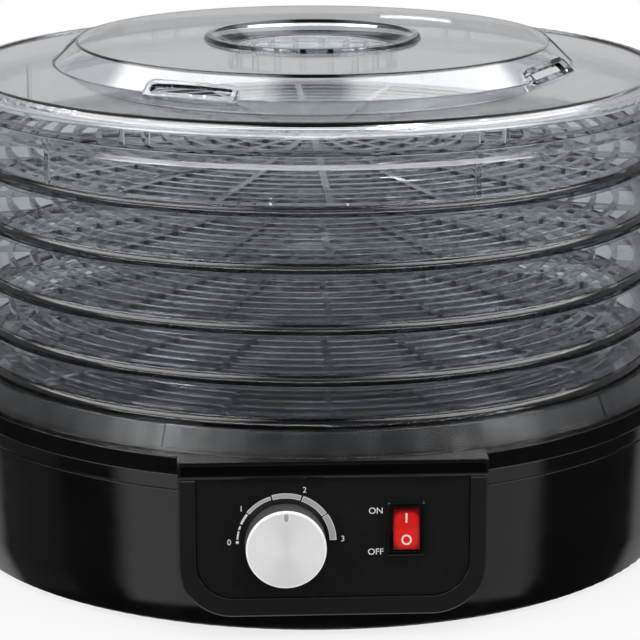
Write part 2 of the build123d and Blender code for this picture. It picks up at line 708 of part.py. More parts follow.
def thermal_fuse():
    x = DUCT_R + FUSE_SADDLE / 2
    saddle = block((OUTLET_R, DUCT_R + FUSE_SADDLE), (-FUSE_SADDLE_L / 2, FUSE_SADDLE_L / 2),
                   (HEATER_Z - FUSE_SADDLE / 2, HEATER_Z + FUSE_SADDLE / 2))
    saddle -= upright(DUCT_R + SEAT_GAP, COVER_TOP, DECK_UNDER)
    return saddle + along_y(FUSE_R, -FUSE_L / 2, FUSE_L / 2, x, HEATER_Z)


def motor_core():
    core = block((-CORE_X / 2, CORE_X / 2), (-CORE_FRONT, CORE_BACK), (CORE_LOW, CORE_TOP))
    core -= upright(ROTOR_R + AIR_GAP, CORE_LOW, CORE_TOP)
    return core - block((-COIL_W / 2 - FIT_GAP, COIL_W / 2 + FIT_GAP),
                        (CORE_BACK - CORE_LEG - COIL_WINDOW, CORE_BACK - CORE_LEG),
                        (CORE_LOW, CORE_TOP))


def motor_coil():
    inner = CORE_BACK - CORE_LEG - COIL_WINDOW + FIT_GAP
    wound = block((-COIL_W / 2, COIL_W / 2), (inner, CORE_BACK + COIL_WINDOW),
                  (CORE_LOW - COIL_T, CORE_TOP + COIL_T))
    wound = fillet(wound.edges().filter_by(Axis.X), COIL_T / 2)
    return wound - block((-COIL_W, COIL_W), (CORE_BACK - CORE_LEG - SEAT_GAP, CORE_BACK + SEAT_GAP),
                         (CORE_LOW - SEAT_GAP, CORE_TOP + SEAT_GAP))


def bracket_legs(low, high):
    """Two feet that join a motor bracket's strap to the core."""
    edge = CORE_X / 2 - BRACKET_LEG
    half = BRACKET_W / 2
    return [block((min(side * edge, side * CORE_X / 2), max(side * edge, side * CORE_X / 2)),
                  (-half, half), (low, high)) for side in (-1, 1)]


def motor_bracket_lower():
    reach = MOTOR_POST_X + MOTOR_POST_R
    strap = block((-reach, reach), (-BRACKET_W / 2, BRACKET_W / 2),
                  (BRACKET_Z, BRACKET_Z + BRACKET_T))
    strap += bracket_legs(BRACKET_Z + BRACKET_T, CORE_LOW)
    strap -= upright(BUSH_R + SEAT_GAP, BRACKET_Z, BRACKET_Z + BRACKET_T)
    for side in (-1, 1):
        strap -= upright(SCREW_R + SCREW_CLEAR, BRACKET_Z, BRACKET_Z + BRACKET_T,
                         side * MOTOR_POST_X)
    return strap


def motor_bracket_upper():
    strap = block((-CORE_X / 2, CORE_X / 2), (-BRACKET_W / 2, BRACKET_W / 2),
                  (UPPER_BRACKET_Z, UPPER_BRACKET_Z + BRACKET_T))
    strap += bracket_legs(CORE_TOP, UPPER_BRACKET_Z)
    return strap - upright(BUSH_R + SEAT_GAP, UPPER_BRACKET_Z, UPPER_BRACKET_Z + BRACKET_T)


def bush_levels():
    """Lower ends of the two motor bushes, each centred in its bracket."""
    return [level + (BRACKET_T - BUSH_H) / 2 for level in (BRACKET_Z, UPPER_BRACKET_Z)]


def motor_bushes():
    return [upright(BUSH_R, low, low + BUSH_H) - upright(SHAFT_R + RUN_GAP, low, low + BUSH_H)
            for low in bush_levels()]


def motor_rotor():
    return (upright(ROTOR_R, CORE_LOW, CORE_TOP)
            - upright(SHAFT_R + SEAT_GAP, CORE_LOW, CORE_TOP))


def motor_shaft():
    return upright(SHAFT_R, bush_levels()[0] - SHAFT_TAIL, IMPELLER_TOP)


def fan_impeller():
    low = IMPELLER_TOP - IMPELLER_H
    middle = (low + IMPELLER_TOP) / 2
    fan = upright(IMPELLER_HUB_R, low, IMPELLER_TOP)
    span = IMPELLER_R - IMPELLER_HUB_R / 2
    chord = (IMPELLER_H - BLADE_T) / sin(radians(BLADE_TILT))
    blade = (Pos(IMPELLER_R - span / 2, 0, middle) * Rot(-BLADE_TILT, 0, 0)
             * Box(span, chord, BLADE_T))
    rim = upright(IMPELLER_R, low, IMPELLER_TOP)
    for k in range(BLADE_COUNT):
        fan += (Rot(0, 0, k * 360 / BLADE_COUNT) * blade) & rim
    return fan - upright(SHAFT_R + SEAT_GAP, low, IMPELLER_TOP)


def screw(bite):
    """Pan-head screw along Z: the head's seat at 0, the shank going up."""
    head = upright(SCREW_HEAD_R, -SCREW_HEAD_H, 0)
    head = fillet(head.edges().group_by(Axis.Z)[0], SCREW_EDGE)
    slot = block((-SCREW_HEAD_R, SCREW_HEAD_R), (-SCREW_SLOT_W / 2, SCREW_SLOT_W / 2),
                 (-SCREW_HEAD_H, SCREW_SLOT_DEPTH - SCREW_HEAD_H))
    return head + upright(SCREW_R, 0, bite) - slot


def case_screws():
    body = screw(COVER_T + CASE_SCREW_BITE - SCREW_TIP_GAP)
    return [Pos(x, y, COVER_LOW) * body for x, y, _ in post_places()]


def motor_screws():
    body = Rot(180, 0, 0) * screw(BRACKET_T + MOTOR_SCREW_BITE - SCREW_TIP_GAP)
    return [Pos(side * MOTOR_POST_X, 0, BRACKET_Z + BRACKET_T) * body for side in (-1, 1)]


def bezel_screws():
    body = Rot(90, 0, 0) * screw(BEZEL_BOSS_L + BASE_WALL + BEZEL_BITE - SCREW_TIP_GAP)
    return [Pos(x, -bezel_seat(x), z) * body for x, z in bezel_screw_places()]


def base_ring():
    spigot_r = RIM_IN - FIT_GAP
    spigot_in = spigot_r - RING_SPIGOT_T
    step_z = DECK_TOP + RING_FLANGE_T
    top_r = BAND_R + RING_PROUD
    land_z = RING_TOP - RING_LAND_T
    ring = turned([
        (RIM_R, DECK_TOP), (RIM_R - RING_FLANGE_LEAN, step_z), (RIM_R - RING_STEP, step_z),
        (top_r, RING_TOP),
        (TRAY_IN, RING_TOP), (TRAY_IN, land_z), (top_r - RING_WALL, land_z), (spigot_in, step_z),
        (spigot_in, DECK_TOP - RING_SPIGOT), (spigot_r, DECK_TOP - RING_SPIGOT),
        (spigot_r, DECK_TOP),
    ], [((top_r, RING_TOP), TRAY_EDGE)])
    lean = (top_r - RIM_R + RING_STEP) / (RING_TOP - step_z)
    low, high = DECK_TOP + POCKET_LOW, RING_TOP + POCKET_DEPTH
    pocket_low_r = RIM_R - RING_STEP + lean * (low - step_z) - POCKET_DEPTH
    pocket_high_r = RIM_R - RING_STEP + lean * (high - step_z) - POCKET_DEPTH
    outline = Polyline((pocket_low_r, 0, low), (pocket_low_r + 3 * POCKET_DEPTH, 0, low),
                       (pocket_high_r + 3 * POCKET_DEPTH, 0, high), (pocket_high_r, 0, high), close=True)
    pocket = revolve(make_face(outline), Axis.Z, revolution_arc=POCKET_SPAN)
    first = POCKET_AZIMUTH - 90 - POCKET_SPAN / 2
    return ring - [Rot(0, 0, first + k * 360 / POCKET_COUNT) * pocket for k in range(POCKET_COUNT)]


def tray_hoop(z, pitch):
    top = z + pitch
    ledge_r = TRAY_SPIGOT_R - TRAY_LEDGE_W
    hoop = turned([
        (BAND_R, z), (BAND_R, z + BAND_FACE_H), (TRAY_R, z + BAND_H), (TRAY_R, top), (TRAY_IN, top),
        (TRAY_IN, z + TRAY_LEDGE_H), (ledge_r, z + TRAY_LEDGE_H), (ledge_r, z - TRAY_SPIGOT),
        (TRAY_SPIGOT_R, z - TRAY_SPIGOT), (TRAY_SPIGOT_R, z),
    ], [((BAND_R, z), BAND_EDGE), ((BAND_R, z + BAND_FACE_H), BAND_ROUND), ((TRAY_R, top), TRAY_EDGE)])
    if top < LID_SEAT:
        return hoop
    rib_low = z + TRAY_LEDGE_H + GRID_T + FIT_GAP
    rib = wall_rib(WALL_RIB_W, TRAY_IN, WALL_RIB_DEPTH, rib_low, top - TRAY_EDGE)
    return hoop + [Rot(0, 0, WALL_RIB_AZIMUTH + k * 360 / WALL_RIB_COUNT) * rib
                   for k in range(WALL_RIB_COUNT)]


def wall_rib(width, radius, depth, low, high):
    """Upright rib on the inside of a round wall, at the front."""
    return block((-width / 2, width / 2), (-radius - RIB_ROOT, -radius + depth), (low, high))


def tray_grid():
    """Drop-in floor of a tray, its lower face at height 0."""
    radius = TRAY_IN - FIT_GAP
    rows = even_rows(GRID_HUB_R, radius - GRID_RIM, GRID_ROWS, GRID_RIB)
    return grille(radius, rows, GRID_SPOKES, GRID_SPOKE, GRID_T, GRID_HUB_HOLE_R)


def lid():
    crest = LID_SEAT + LID_RISE
    skirt_low = LID_SEAT - SKIRT_DROP
    rim_r = LID_R - LID_LEAN
    annulus_r = rim_r - RIM_CREST_W - RIM_STEP
    annulus_z = crest - RIM_STEP
    foot_z = annulus_z + ANNULUS_RISE
    plateau_z = foot_z + PLATEAU_H
    lip_z = plateau_z + VENT_LIP_H
    funnel_z = lip_z - VENT_FUNNEL
    collar_low = funnel_z - COLLAR_H
    cone_run = (PLATEAU_FOOT_R - PLATEAU_TOP_R) / PLATEAU_H
    cone_gap = LID_WALL * hypot(1, cone_run)
    under_top = plateau_z - LID_WALL
    under_foot = foot_z - LID_WALL
    collar_r = VENT_R + COLLAR_WALL
    shell = turned([
        (LID_R + SKIRT_FLARE, skirt_low), (LID_R, skirt_low + SKIRT_FLARE_H),
        (rim_r, crest), (rim_r - RIM_CREST_W, crest), (annulus_r, annulus_z),
        (PLATEAU_FOOT_R, foot_z), (PLATEAU_TOP_R, plateau_z), (VENT_LIP_R, plateau_z),
        (VENT_LIP_R - VENT_LIP_LEAN, lip_z), (VENT_LIP_R - VENT_LIP_LEAN - VENT_LIP_W, lip_z),
        (VENT_R, funnel_z), (VENT_R, collar_low), (collar_r, collar_low),
        (collar_r, funnel_z - LID_WALL / 2),
        (VENT_LIP_R - VENT_LIP_W + LID_WALL, under_top),
        (PLATEAU_FOOT_R - cone_run * (under_top - foot_z) - cone_gap, under_top),
        (PLATEAU_FOOT_R - cone_run * (under_foot - foot_z) - cone_gap, under_foot),
        (annulus_r, annulus_z - LID_WALL), (rim_r - LID_WALL, annulus_z - LID_WALL),
        (rim_r - LID_WALL, LID_SEAT + LID_SEAT_T), (TRAY_IN, LID_SEAT + LID_SEAT_T),
        (TRAY_IN, LID_SEAT), (LID_R - LID_WALL, LID_SEAT), (LID_R - LID_WALL, skirt_low),
    ], [
        ((rim_r, crest), RIM_ROUND), ((rim_r - LID_WALL, annulus_z - LID_WALL), RIM_ROUND - LID_WALL),
        ((PLATEAU_TOP_R, plateau_z), PLATEAU_EDGE), ((PLATEAU_FOOT_R, foot_z), PLATEAU_EDGE),
        ((VENT_LIP_R - VENT_LIP_LEAN, lip_z), VENT_LIP_EDGE),
    ])
    shell = lid_slots(shell, foot_z)
    guide = wall_rib(GUIDE_W, rim_r - LID_WALL, GUIDE_DEPTH, LID_SEAT + LID_SEAT_T, crest - RIM_ROUND)
    shell += [Rot(0, 0, azimuth + side * degrees(GUIDE_SPREAD / 2 / rim_r)) * guide
              for azimuth in GUIDE_AZIMUTHS for side in (-1, 1)]
    window_low, window_high = collar_low + COLLAR_RING_H, funnel_z - LID_WALL
    window_w = 2 * sin(radians(180 / COLLAR_BARS)) * VENT_R - COLLAR_BAR_W
    window = block((-window_w / 2, window_w / 2), (-collar_r - LID_WALL, -VENT_R + LID_WALL),
                   (window_low, window_high))
    return shell - [Rot(0, 0, k * 360 / COLLAR_BARS) * window for k in range(COLLAR_BARS)]


def lid_slots(shell, foot_z):
    """Framed air slots through the plateau's sloping wall."""
    rise, run = PLATEAU_H, PLATEAU_FOOT_R - PLATEAU_TOP_R
    slope = hypot(rise, run)
    wall = Plane(origin=((PLATEAU_FOOT_R + PLATEAU_TOP_R) / 2, 0, foot_z + rise / 2),
                 x_dir=(0, 1, 0), z_dir=(rise / slope, 0, run / slope))
    outer = RectangleRounded(SLOT_L + 2 * SLOT_FRAME, SLOT_W + 2 * SLOT_FRAME + SLOT_FOOT,
                             SLOT_CORNER + SLOT_FRAME)
    inner = RectangleRounded(SLOT_L, SLOT_W, SLOT_CORNER)
    face = wall.offset(SLOT_PROUD) * Pos(0, -SLOT_DROP - SLOT_FOOT / 2)
    frame = extrude(face * outer, -SLOT_PROUD - SLOT_SINK)
    frame &= upright(PLATEAU_FOOT_R + SLOT_L, foot_z - LID_WALL / 2, foot_z + PLATEAU_H)
    hole = extrude(wall * Pos(0, -SLOT_DROP) * inner, PLATEAU_H, both=True)
    for k in range(SLOT_COUNT):
        turn = Rot(0, 0, SLOT_AZIMUTH - 90 + k * 360 / SLOT_COUNT)
        shell = shell + turn * frame - turn * hole
    return shell


def pieces():
    """Every node's name and its solids."""
    made = {
        "base_housing": base_housing(),
        "base_deck": base_deck(),
        "outlet_grille": outlet_grille(),
        "bottom_cover": bottom_cover(),
        "rubber_feet": rubber_feet(),
        "panel_bezel": panel_bezel(),
        "panel_plate": panel_plate(),
        "thermostat_body": thermostat_body(),
        "thermostat_nut": thermostat_nut(),
        "thermostat_shaft": thermostat_shaft(),
        "knob_body": knob_body(),
        "knob_face": knob_face(),
        "switch_case": switch_case(),
        "rocker_button": rocker_button(),
        "cord_gland": cord_gland(),
        "terminal_block": terminal_block(),
        "air_duct": air_duct(),
        "heat_shield": heat_shield(),
        "heater_element": heater_element(),
        "heater_bushes": heater_bushes(),
        "heater_clips": heater_clips(),
        "thermal_fuse": thermal_fuse(),
        "motor_core": motor_core(),
        "motor_coil": motor_coil(),
        "motor_bracket_lower": motor_bracket_lower(),
        "motor_bracket_upper": motor_bracket_upper(),
        "motor_bushes": motor_bushes(),
        "motor_rotor": motor_rotor(),
        "motor_shaft": motor_shaft(),
        "fan_impeller": fan_impeller(),
        "case_screws": case_screws(),
        "motor_screws": motor_screws(),
        "bezel_screws": bezel_screws(),
        "base_ring": base_ring(),
        "lid": lid(),
    }
    grid = tray_grid()
    for number, (z, pitch) in enumerate(zip(TRAY_Z, TRAY_PITCHES), 1):
        made[f"tray_{number}_hoop"] = tray_hoop(z, pitch)
        made[f"tray_{number}_grid"] = Pos(0, 0, z + TRAY_LEDGE_H) * grid
    return made


os.makedirs("parts", exist_ok=True)
for node, shape in pieces().items():
    solids = shape if isinstance(shape, list) else [shape]
    export_step(Compound(children=[s for piece in solids for s in piece.solids()]), f"parts/{node}.step")
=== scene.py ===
import json
from math import cos, degrees, pi, radians, sin

import bmesh
import bpy
from mathutils import Matrix, Vector


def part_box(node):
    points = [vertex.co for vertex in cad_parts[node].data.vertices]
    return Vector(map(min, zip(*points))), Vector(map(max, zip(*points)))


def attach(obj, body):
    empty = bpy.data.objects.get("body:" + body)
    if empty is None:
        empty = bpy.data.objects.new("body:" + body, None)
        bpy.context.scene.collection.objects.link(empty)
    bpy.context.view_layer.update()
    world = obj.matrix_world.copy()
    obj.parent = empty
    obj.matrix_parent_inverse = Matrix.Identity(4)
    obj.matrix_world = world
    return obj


# Food dehydrator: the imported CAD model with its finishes, its printed panel and a studio.
# Metres, +Z up, the control panel facing -Y.

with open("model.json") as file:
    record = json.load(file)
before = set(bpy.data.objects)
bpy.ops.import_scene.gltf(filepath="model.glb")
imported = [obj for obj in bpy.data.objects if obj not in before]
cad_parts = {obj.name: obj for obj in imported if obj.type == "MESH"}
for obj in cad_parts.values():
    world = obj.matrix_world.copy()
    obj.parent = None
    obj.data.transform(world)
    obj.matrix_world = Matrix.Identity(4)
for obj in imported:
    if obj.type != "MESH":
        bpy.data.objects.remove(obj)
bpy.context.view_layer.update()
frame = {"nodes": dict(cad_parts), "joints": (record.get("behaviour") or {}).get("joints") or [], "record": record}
scene = bpy.context.scene
MM = 0.001

# Camera at the photograph's viewing angle
CAMERA_PLACE = (-0.0626, -1.2584, 0.4073)
CAMERA_PITCH = 14.02
CAMERA_HEADING = -2.998
CAMERA_LENS = 160.8
SENSOR_W = 36.0
CAMERA_REACH = 20.0
CLEAR_BOUNCES = 40       # enough for a ray to cross all the nested clear walls

# Printed panel
PRINT_T = 0.03 * MM
SCALE_R = 19.3 * MM
SCALE_STEPS = (          # start and end from the right-hand end, in degrees, and width in millimetres
    (165.9, 176.4, 0.75), (159.1, 164.1, 0.75), (142.4, 156.6, 1.0), (107.7, 140.6, 1.5),
    (71.1, 105.6, 2.1), (35.3, 69.0, 2.4), (1.3, 33.8, 2.7),
)
SCALE_LINE = 0.28 * MM   # white outline of the broad steps
FILL_FROM = 1.2          # width in millimetres from which a step is filled grey
START_DOT_R = 0.65 * MM
DIAL_NUMBERS = (         # number, angle in degrees and distance from the knob's axis in millimetres
    ("0", 180.0, 22.6), ("1", 141.5, 22.6), ("2", 70.1, 23.0), ("3", 2.0, 23.2),
)
DIAL_TEXT_H = 3.4 * MM
LABEL_TEXT_H = 3.7 * MM
LABEL_OUT = 4.5 * MM     # switch case's left edge to the middle of its labels
LABELS = (("ON", 7.35), ("OFF", -9.95))     # words and height over the case's middle in millimetres
ARC_STEPS = 16
DOT_STEPS = 20
INK_WHITE = (0.8, 0.8, 0.79)
INK_GREY = (0.45, 0.45, 0.44)
INK_THIN = 0.86          # share of the ink's colour where its cover is thin

# Knob's face: its bevel, painted as a highlight, and its pointer groove, with a painted highlight round its edge
KNOB_BEVEL = 0.9 * MM
KNOB_BEVEL_EDGE = 0.2 * MM
POINTER_W = 1.8 * MM
POINTER_L = 4.0 * MM
POINTER_EDGE = 0.5 * MM
POINTER_DEPTH = 0.4 * MM
# Width and colour of the painted highlight round the pointer groove's edge
POINTER_LINE = 0.35 * MM
POINTER_HIGHLIGHT_WHITE = (0.9, 0.9, 0.9)
POINTER_GREY = (0.4, 0.4, 0.4)

# Rocker: its tilted faces, the marks on them and the lamp behind
ROCKER_DIP = 2.0 * MM
ROCKER_TILT = radians(9.0)
MARK_OUT = 4.5 * MM      # pivot line to a mark's middle, along the rocker's face
MARK_T = 0.15 * MM
MARK_WHITE = (0.78, 0.62, 0.6)
BAR_W = 0.8 * MM
BAR_H = 4.0 * MM
RING_R = 1.75 * MM
RING_W = 0.7 * MM
RING_STEPS = 32
WELD = 0.001 * MM
LAMP_CORE = (2.2 * MM, 3.6 * MM)            # half sizes, across and upright, up to which the glow is full
LAMP_REACH = (7.4 * MM, 10.6 * MM)          # half sizes at which it has faded
LAMP_STRENGTH = 0.12

# Smoked plastic: its absorption, and the foot band that stands out from a hoop's wall, painted darker for its
# thicker smoke and as painted shade of the dark seen through it
CLEAR_COLOUR = (0.95, 0.96, 0.97)
SMOKE_COLOUR = (0.30, 0.33, 0.37)
BAND_SMOKE_AND_SHADE = (0.40, 0.41, 0.44)
TRAY_SMOKE = 260.0
LID_SMOKE = 140.0
RING_SMOKE = 330.0
CLEAR_ROUGHNESS = 0.02
RING_ROUGHNESS = 0.16
BAND_OUT = 1.9 * MM
BAND_SHADE_EDGE = 0.4 * MM  # depth over which the wall's tint turns into the band's darker paint
BAND_CROWN = 1.1 * MM    # relief that rounds the band's sloping shoulder

# Black mouldings: rounding of their edges, the base's foot, where its wall tucks in, and the bezel's hood, with a
# paler painted reflection on the frame under it
EDGE_R = 0.5 * MM
FOOT_H = 16.0 * MM
FOOT_TUCK = 2.0 * MM
HOOD_FROM = 2.5 * MM     # height over the plate from which the bezel is as dark as its hood
FRAME_TO = 1.5 * MM      # height over the plate up to which the frame has its paler tone, a painted reflection

# Range in which most of a noise texture's values lie
NOISE_LOW = 0.3
NOISE_HIGH = 0.7

# Sockets of a node that mixes two colours, which share their names with its other modes
MIX_FACTOR, MIX_UNDER, MIX_OVER, MIX_RESULT = 0, 6, 7, 2

# Studio: light from the world, and the room that glossy surfaces mirror, where a level of 1 is white
WORLD_FILL = 0.4
GLOSS_FLOOR = 0.03
GLOSS_PANES = (          # azimuths: first, last, soft edge; elevations: first, last, soft edge; level
    (-200, 200, 9, 1, 40, 3, 0.35),         # pale walls
    (-200, 200, 9, 43, 90, 3, 0.12),        # ceiling
    (-68, 68, 9, 2.5, 8.0, 1.5, 8.0),       # bright horizon in front
    (140, 200, 9, 3, 14, 3, 0.2),           # backdrop behind
    (-200, -140, 9, 3, 14, 3, 0.2),
    (-200, 200, 9, -90, -55, 8, 1.2),       # table under the object
    (-62, -44, 9, -33, -18, 3, 1.25),       # upright strips that the base mirrors
    (-115, -95, 9, -33, -18, 3, 0.1),
    (52, 69, 9, -33, -18, 3, 0.8),
    (-150, -128, 9, -33, -18, 3, 0.9),
    (128, 150, 9, -33, -18, 3, 0.5),
    (-75, -35, 20, 20, 38, 3, 1.0),         # boxes that the ring mirrors
    (60, 85, 20, 20, 38, 3, 0.5),
    (-125, -60, 35, 42, 75, 8, 6.0),        # high boxes that the tray bands mirror
    (60, 125, 35, 42, 75, 8, 6.0),
)
FLOOR_HALF = 4.0
FLOOR_CELLS = 8
FLOOR_NEAR = 0.3         # distance from the middle where the floor starts to turn into plain white
FLOOR_FAR = 0.9          # distance where it is plain white
FLOOR_GLOW = 0.8         # share of plain white near the object, where the floor keeps a shadow
LAMP_AIM = (0, 0, 0.1)
LAMPS = (                # name, place, width, height, watts
    ("left", (-1.3, -0.9, 0.9), 0.6, 1.0, 8.5),
    ("right", (1.4, -0.8, 0.9), 0.6, 1.0, 7.2),
    ("overhead", (0, 0.15, 1.6), 1.5, 1.1, 8.0),
    ("front", (0.2, -1.3, 1.9), 1.2, 0.8, 12.0),
)


def calc(tree, operation, first, second=0.0):
    """Math node of one or two numbers or outputs."""
    node = tree.nodes.new("ShaderNodeMath")
    node.operation = operation
    for socket, value in zip(node.inputs, (first, second)):
        if isinstance(value, bpy.types.NodeSocket):
            tree.links.new(value, socket)
        else:
            socket.default_value = value
    return node.outputs["Value"]


def ramp(tree, value, start, end, low=0.0, high=1.0, kind="LINEAR"):
    """Goes from a low to a high result as a value goes from a start to an end."""
    node = tree.nodes.new("ShaderNodeMapRange")
    node.interpolation_type = kind
    for socket, number in (("From Min", start), ("From Max", end), ("To Min", low), ("To Max", high)):
        node.inputs[socket].default_value = number
    tree.links.new(value, node.inputs["Value"])
    return node.outputs["Result"]


def window(tree, value, low, high, soft):
    """1 between two limits of a value, fading to 0 over a soft edge."""
    rise = ramp(tree, value, low - soft, low, kind="SMOOTHSTEP")
    fall = ramp(tree, value, high + soft, high, kind="SMOOTHSTEP")
    return calc(tree, "MULTIPLY", rise, fall)


def corners(node):
    """Lowest and highest corner of a CAD node's box, and its middle."""
    low, high = (Vector(corner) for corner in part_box(node))
    return low, high, (low + high) / 2


class Surface:
    """A material with one Principled shader, and short calls for the textures that feed it.

    Its plain colour and roughness hold wherever no texture is read.
    """

    def __init__(self, name, colour, roughness, **sockets):
        self.material = bpy.data.materials.new(name)
        self.material.use_nodes = True
        self.tree = self.material.node_tree
        self.shader = self.tree.nodes["Principled BSDF"]
        self.output = self.tree.nodes["Material Output"]
        self.place = self.add("ShaderNodeTexCoord").outputs["Object"]
        self.normal = None
        self.set("Base Color", (*colour, 1.0))
        self.set("Roughness", roughness)
        for socket, value in sockets.items():
            self.set(socket.replace("_", " "), value)

    def add(self, kind, **values):
        node = self.tree.nodes.new(kind)
        for name, value in values.items():
            setattr(node, name, value)
        return node

    def set(self, socket, value):
        self.shader.inputs[socket].default_value = value

    def link(self, output, target):
        self.tree.links.new(output, target)

    def vector(self, operation, first, second=(0, 0, 0)):
        """Vector math node of an output and a constant."""
        node = self.add("ShaderNodeVectorMath", operation=operation)
        self.link(first, node.inputs[0])
        node.inputs[1].default_value = second
        return node.outputs["Value" if operation == "LENGTH" else "Vector"]

    def split(self, vector):
        """X, Y and Z of a vector."""
        node = self.add("ShaderNodeSeparateXYZ")
        self.link(vector, node.inputs["Vector"])
        return node.outputs

    def noise(self, scale, detail, stretch=(1, 1, 1)):
        """Noise from the object's own coordinates, stretched along an axis where one is small."""
        mapping = self.add("ShaderNodeMapping")
        mapping.inputs["Scale"].default_value = stretch
        self.link(self.place, mapping.inputs["Vector"])
        noise = self.add("ShaderNodeTexNoise")
        noise.inputs["Scale"].default_value = scale
        noise.inputs["Detail"].default_value = detail
        self.link(mapping.outputs["Vector"], noise.inputs["Vector"])
        return noise.outputs["Fac"]

    def radius(self, centre, plane):
        """Distance from a centre within a plane, which has a 1 for each of its axes and a 0 for the other."""
        offset = self.vector("SUBTRACT", self.place, centre)
        return self.vector("LENGTH", self.vector("MULTIPLY", offset, plane))

    def rings(self, distance, scale, detail):
        """Noise that depends only on a distance."""
        noise = self.add("ShaderNodeTexNoise", noise_dimensions="1D")
        noise.inputs["Scale"].default_value = scale
        noise.inputs["Detail"].default_value = detail
        self.link(distance, noise.inputs["W"])
        return noise.outputs["Fac"]

    def waves(self, scale, direction):
        """Even stripes across one axis."""
        wave = self.add("ShaderNodeTexWave", bands_direction=direction)
        wave.inputs["Scale"].default_value = scale
        self.link(self.place, wave.inputs["Vector"])
        return wave.outputs["Fac"]

    def core(self, centre, inner, outer):
        """1 round a centre, fading to 0 between two half sizes across X and along Z."""
        offset = self.split(self.vector("SUBTRACT", self.place, centre))
        fades = []
        for axis, near, far in zip("XZ", inner, outer):
            size = calc(self.tree, "ABSOLUTE", offset[axis])
            fades.append(ramp(self.tree, size, far, near, kind="SMOOTHSTEP"))
        return calc(self.tree, "MULTIPLY", *fades)

    def cover(self, colour, factor):
        """Lays a plain colour over the base colour where a factor is 1."""
        socket = self.shader.inputs["Base Color"]
        mix = self.add("ShaderNodeMix", data_type="RGBA")
        self.link(factor, mix.inputs[MIX_FACTOR])
        self.link(socket.links[0].from_socket, mix.inputs[MIX_UNDER])
        mix.inputs[MIX_OVER].default_value = (*colour, 1)
        self.link(mix.outputs[MIX_RESULT], socket)

    def vary(self, socket, low, high, factor):
        """Drives a number on the shader between two values."""
        spread = ramp(self.tree, factor, NOISE_LOW, NOISE_HIGH, low, high)
        self.link(spread, self.shader.inputs[socket])

    def tint(self, dark, light, factor, socket="Base Color"):
        """Drives a colour on the shader between two colours."""
        blend = self.add("ShaderNodeValToRGB")
        ends = zip(blend.color_ramp.elements, (NOISE_LOW, NOISE_HIGH), (dark, light))
        for element, position, colour in ends:
            element.position = position
            element.color = (*colour, 1)
        self.link(factor, blend.inputs["Fac"])
        self.link(blend.outputs["Color"], self.shader.inputs[socket])

    def soften(self, radius):
        """Rounds sharp edges in the shading, so that they catch light."""
        bevel = self.add("ShaderNodeBevel", samples=4)
        bevel.inputs["Radius"].default_value = radius
        self.normal = bevel.outputs["Normal"]
        self.link(self.normal, self.shader.inputs["Normal"])

    def emboss(self, factor, depth, strength=1.0):
        """Adds relief of a depth in metres, over any relief that is there."""
        bump = self.add("ShaderNodeBump")
        bump.inputs["Distance"].default_value = depth
        bump.inputs["Strength"].default_value = strength
        self.link(factor, bump.inputs["Height"])
        if self.normal:
            self.link(self.normal, bump.inputs["Normal"])
        self.normal = bump.outputs["Normal"]
        self.link(self.normal, self.shader.inputs["Normal"])

    def texture(self, shades, clouds, roughness, wear, grain, depth, relief):
        """Clouds between two shades, roughness that changes with wear, and a fine grain.

        Clouds, wear and grain are noises: a scale, a detail and, where there is one, a stretch.
        """
        self.tint(*shades, self.noise(*clouds))
        self.vary("Roughness", *roughness, self.noise(*wear))
        self.emboss(self.noise(*grain), depth, relief)


def smoked_clear(name, density, roughness=CLEAR_ROUGHNESS):
    """Clear grey moulding: darker the thicker it is, with faint flow waves and handling marks."""
    look = Surface(name, CLEAR_COLOUR, roughness, IOR=1.49, Transmission_Weight=1.0)
    marks = look.noise(90, 4.0, stretch=(1, 1, 0.3))
    look.vary("Roughness", 0.5 * roughness, 1.7 * roughness, marks)
    look.emboss(look.noise(28, 1.0), 0.12 * MM, strength=0.35)
    smoke = look.add("ShaderNodeVolumeAbsorption")
    smoke.inputs["Color"].default_value = (*SMOKE_COLOUR, 1)
    smoke.inputs["Density"].default_value = density
    look.link(smoke.outputs["Volume"], look.output.inputs["Volume"])
    return look


def smoked_hoop():
    """Smoked moulding whose foot band, the part outside the wall, is tinted darker: it stands for the band's
    thicker smoke and is partly painted shade of the dark inside seen through it.
    """
    look = smoked_clear("smoked_hoop", TRAY_SMOKE)
    band_r = corners("tray_1_hoop")[1].x
    wall_r = band_r - BAND_OUT
    distance = look.radius(centre=(0, 0, 0), plane=(1, 1, 0))
    # Painted shade, in part: the band's darker tint stands for its thicker smoke and for the dark seen through it.
    look.tint(CLEAR_COLOUR, BAND_SMOKE_AND_SHADE, ramp(look.tree, distance, wall_r, wall_r + BAND_SHADE_EDGE))
    along = ramp(look.tree, distance, wall_r, band_r)
    crown = calc(look.tree, "MULTIPLY", along, calc(look.tree, "SUBTRACT", 1.0, along))
    look.emboss(crown, BAND_CROWN)
    return look


def gloss_black():
    """Polished black moulding with a slight orange peel, tucked in towards the base's foot."""
    look = Surface("gloss_black", (0.0025, 0.0025, 0.0025), 0.1, IOR=1.46, Specular_IOR_Level=0.4)
    look.soften(EDGE_R)
    look.texture(
        shades=((0.0018, 0.0018, 0.0018), (0.0034, 0.0034, 0.0032)), clouds=(35, 3.0),
        roughness=(0.07, 0.15), wear=(120, 4.0),
        grain=(420, 1.0), depth=0.02 * MM, relief=0.25,
    )
    foot = ramp(look.tree, look.split(look.place)["Z"], FOOT_H, 0.0)
    drop = calc(look.tree, "MULTIPLY", foot, foot)
    look.emboss(calc(look.tree, "SUBTRACT", 0.0, drop), FOOT_TUCK)
    return look


def panel_film():
    """Satin black panel sheet with a fine grain."""
    look = Surface("panel_film", (0.0095, 0.0095, 0.0095), 0.2, IOR=1.46, Specular_IOR_Level=0.4)
    look.texture(
        shades=((0.008, 0.008, 0.008), (0.011, 0.011, 0.0105)), clouds=(60, 3.0),
        roughness=(0.1, 0.15), wear=(300, 3.0),
        grain=(420, 1.0), depth=0.01 * MM, relief=0.15,
    )
    return look


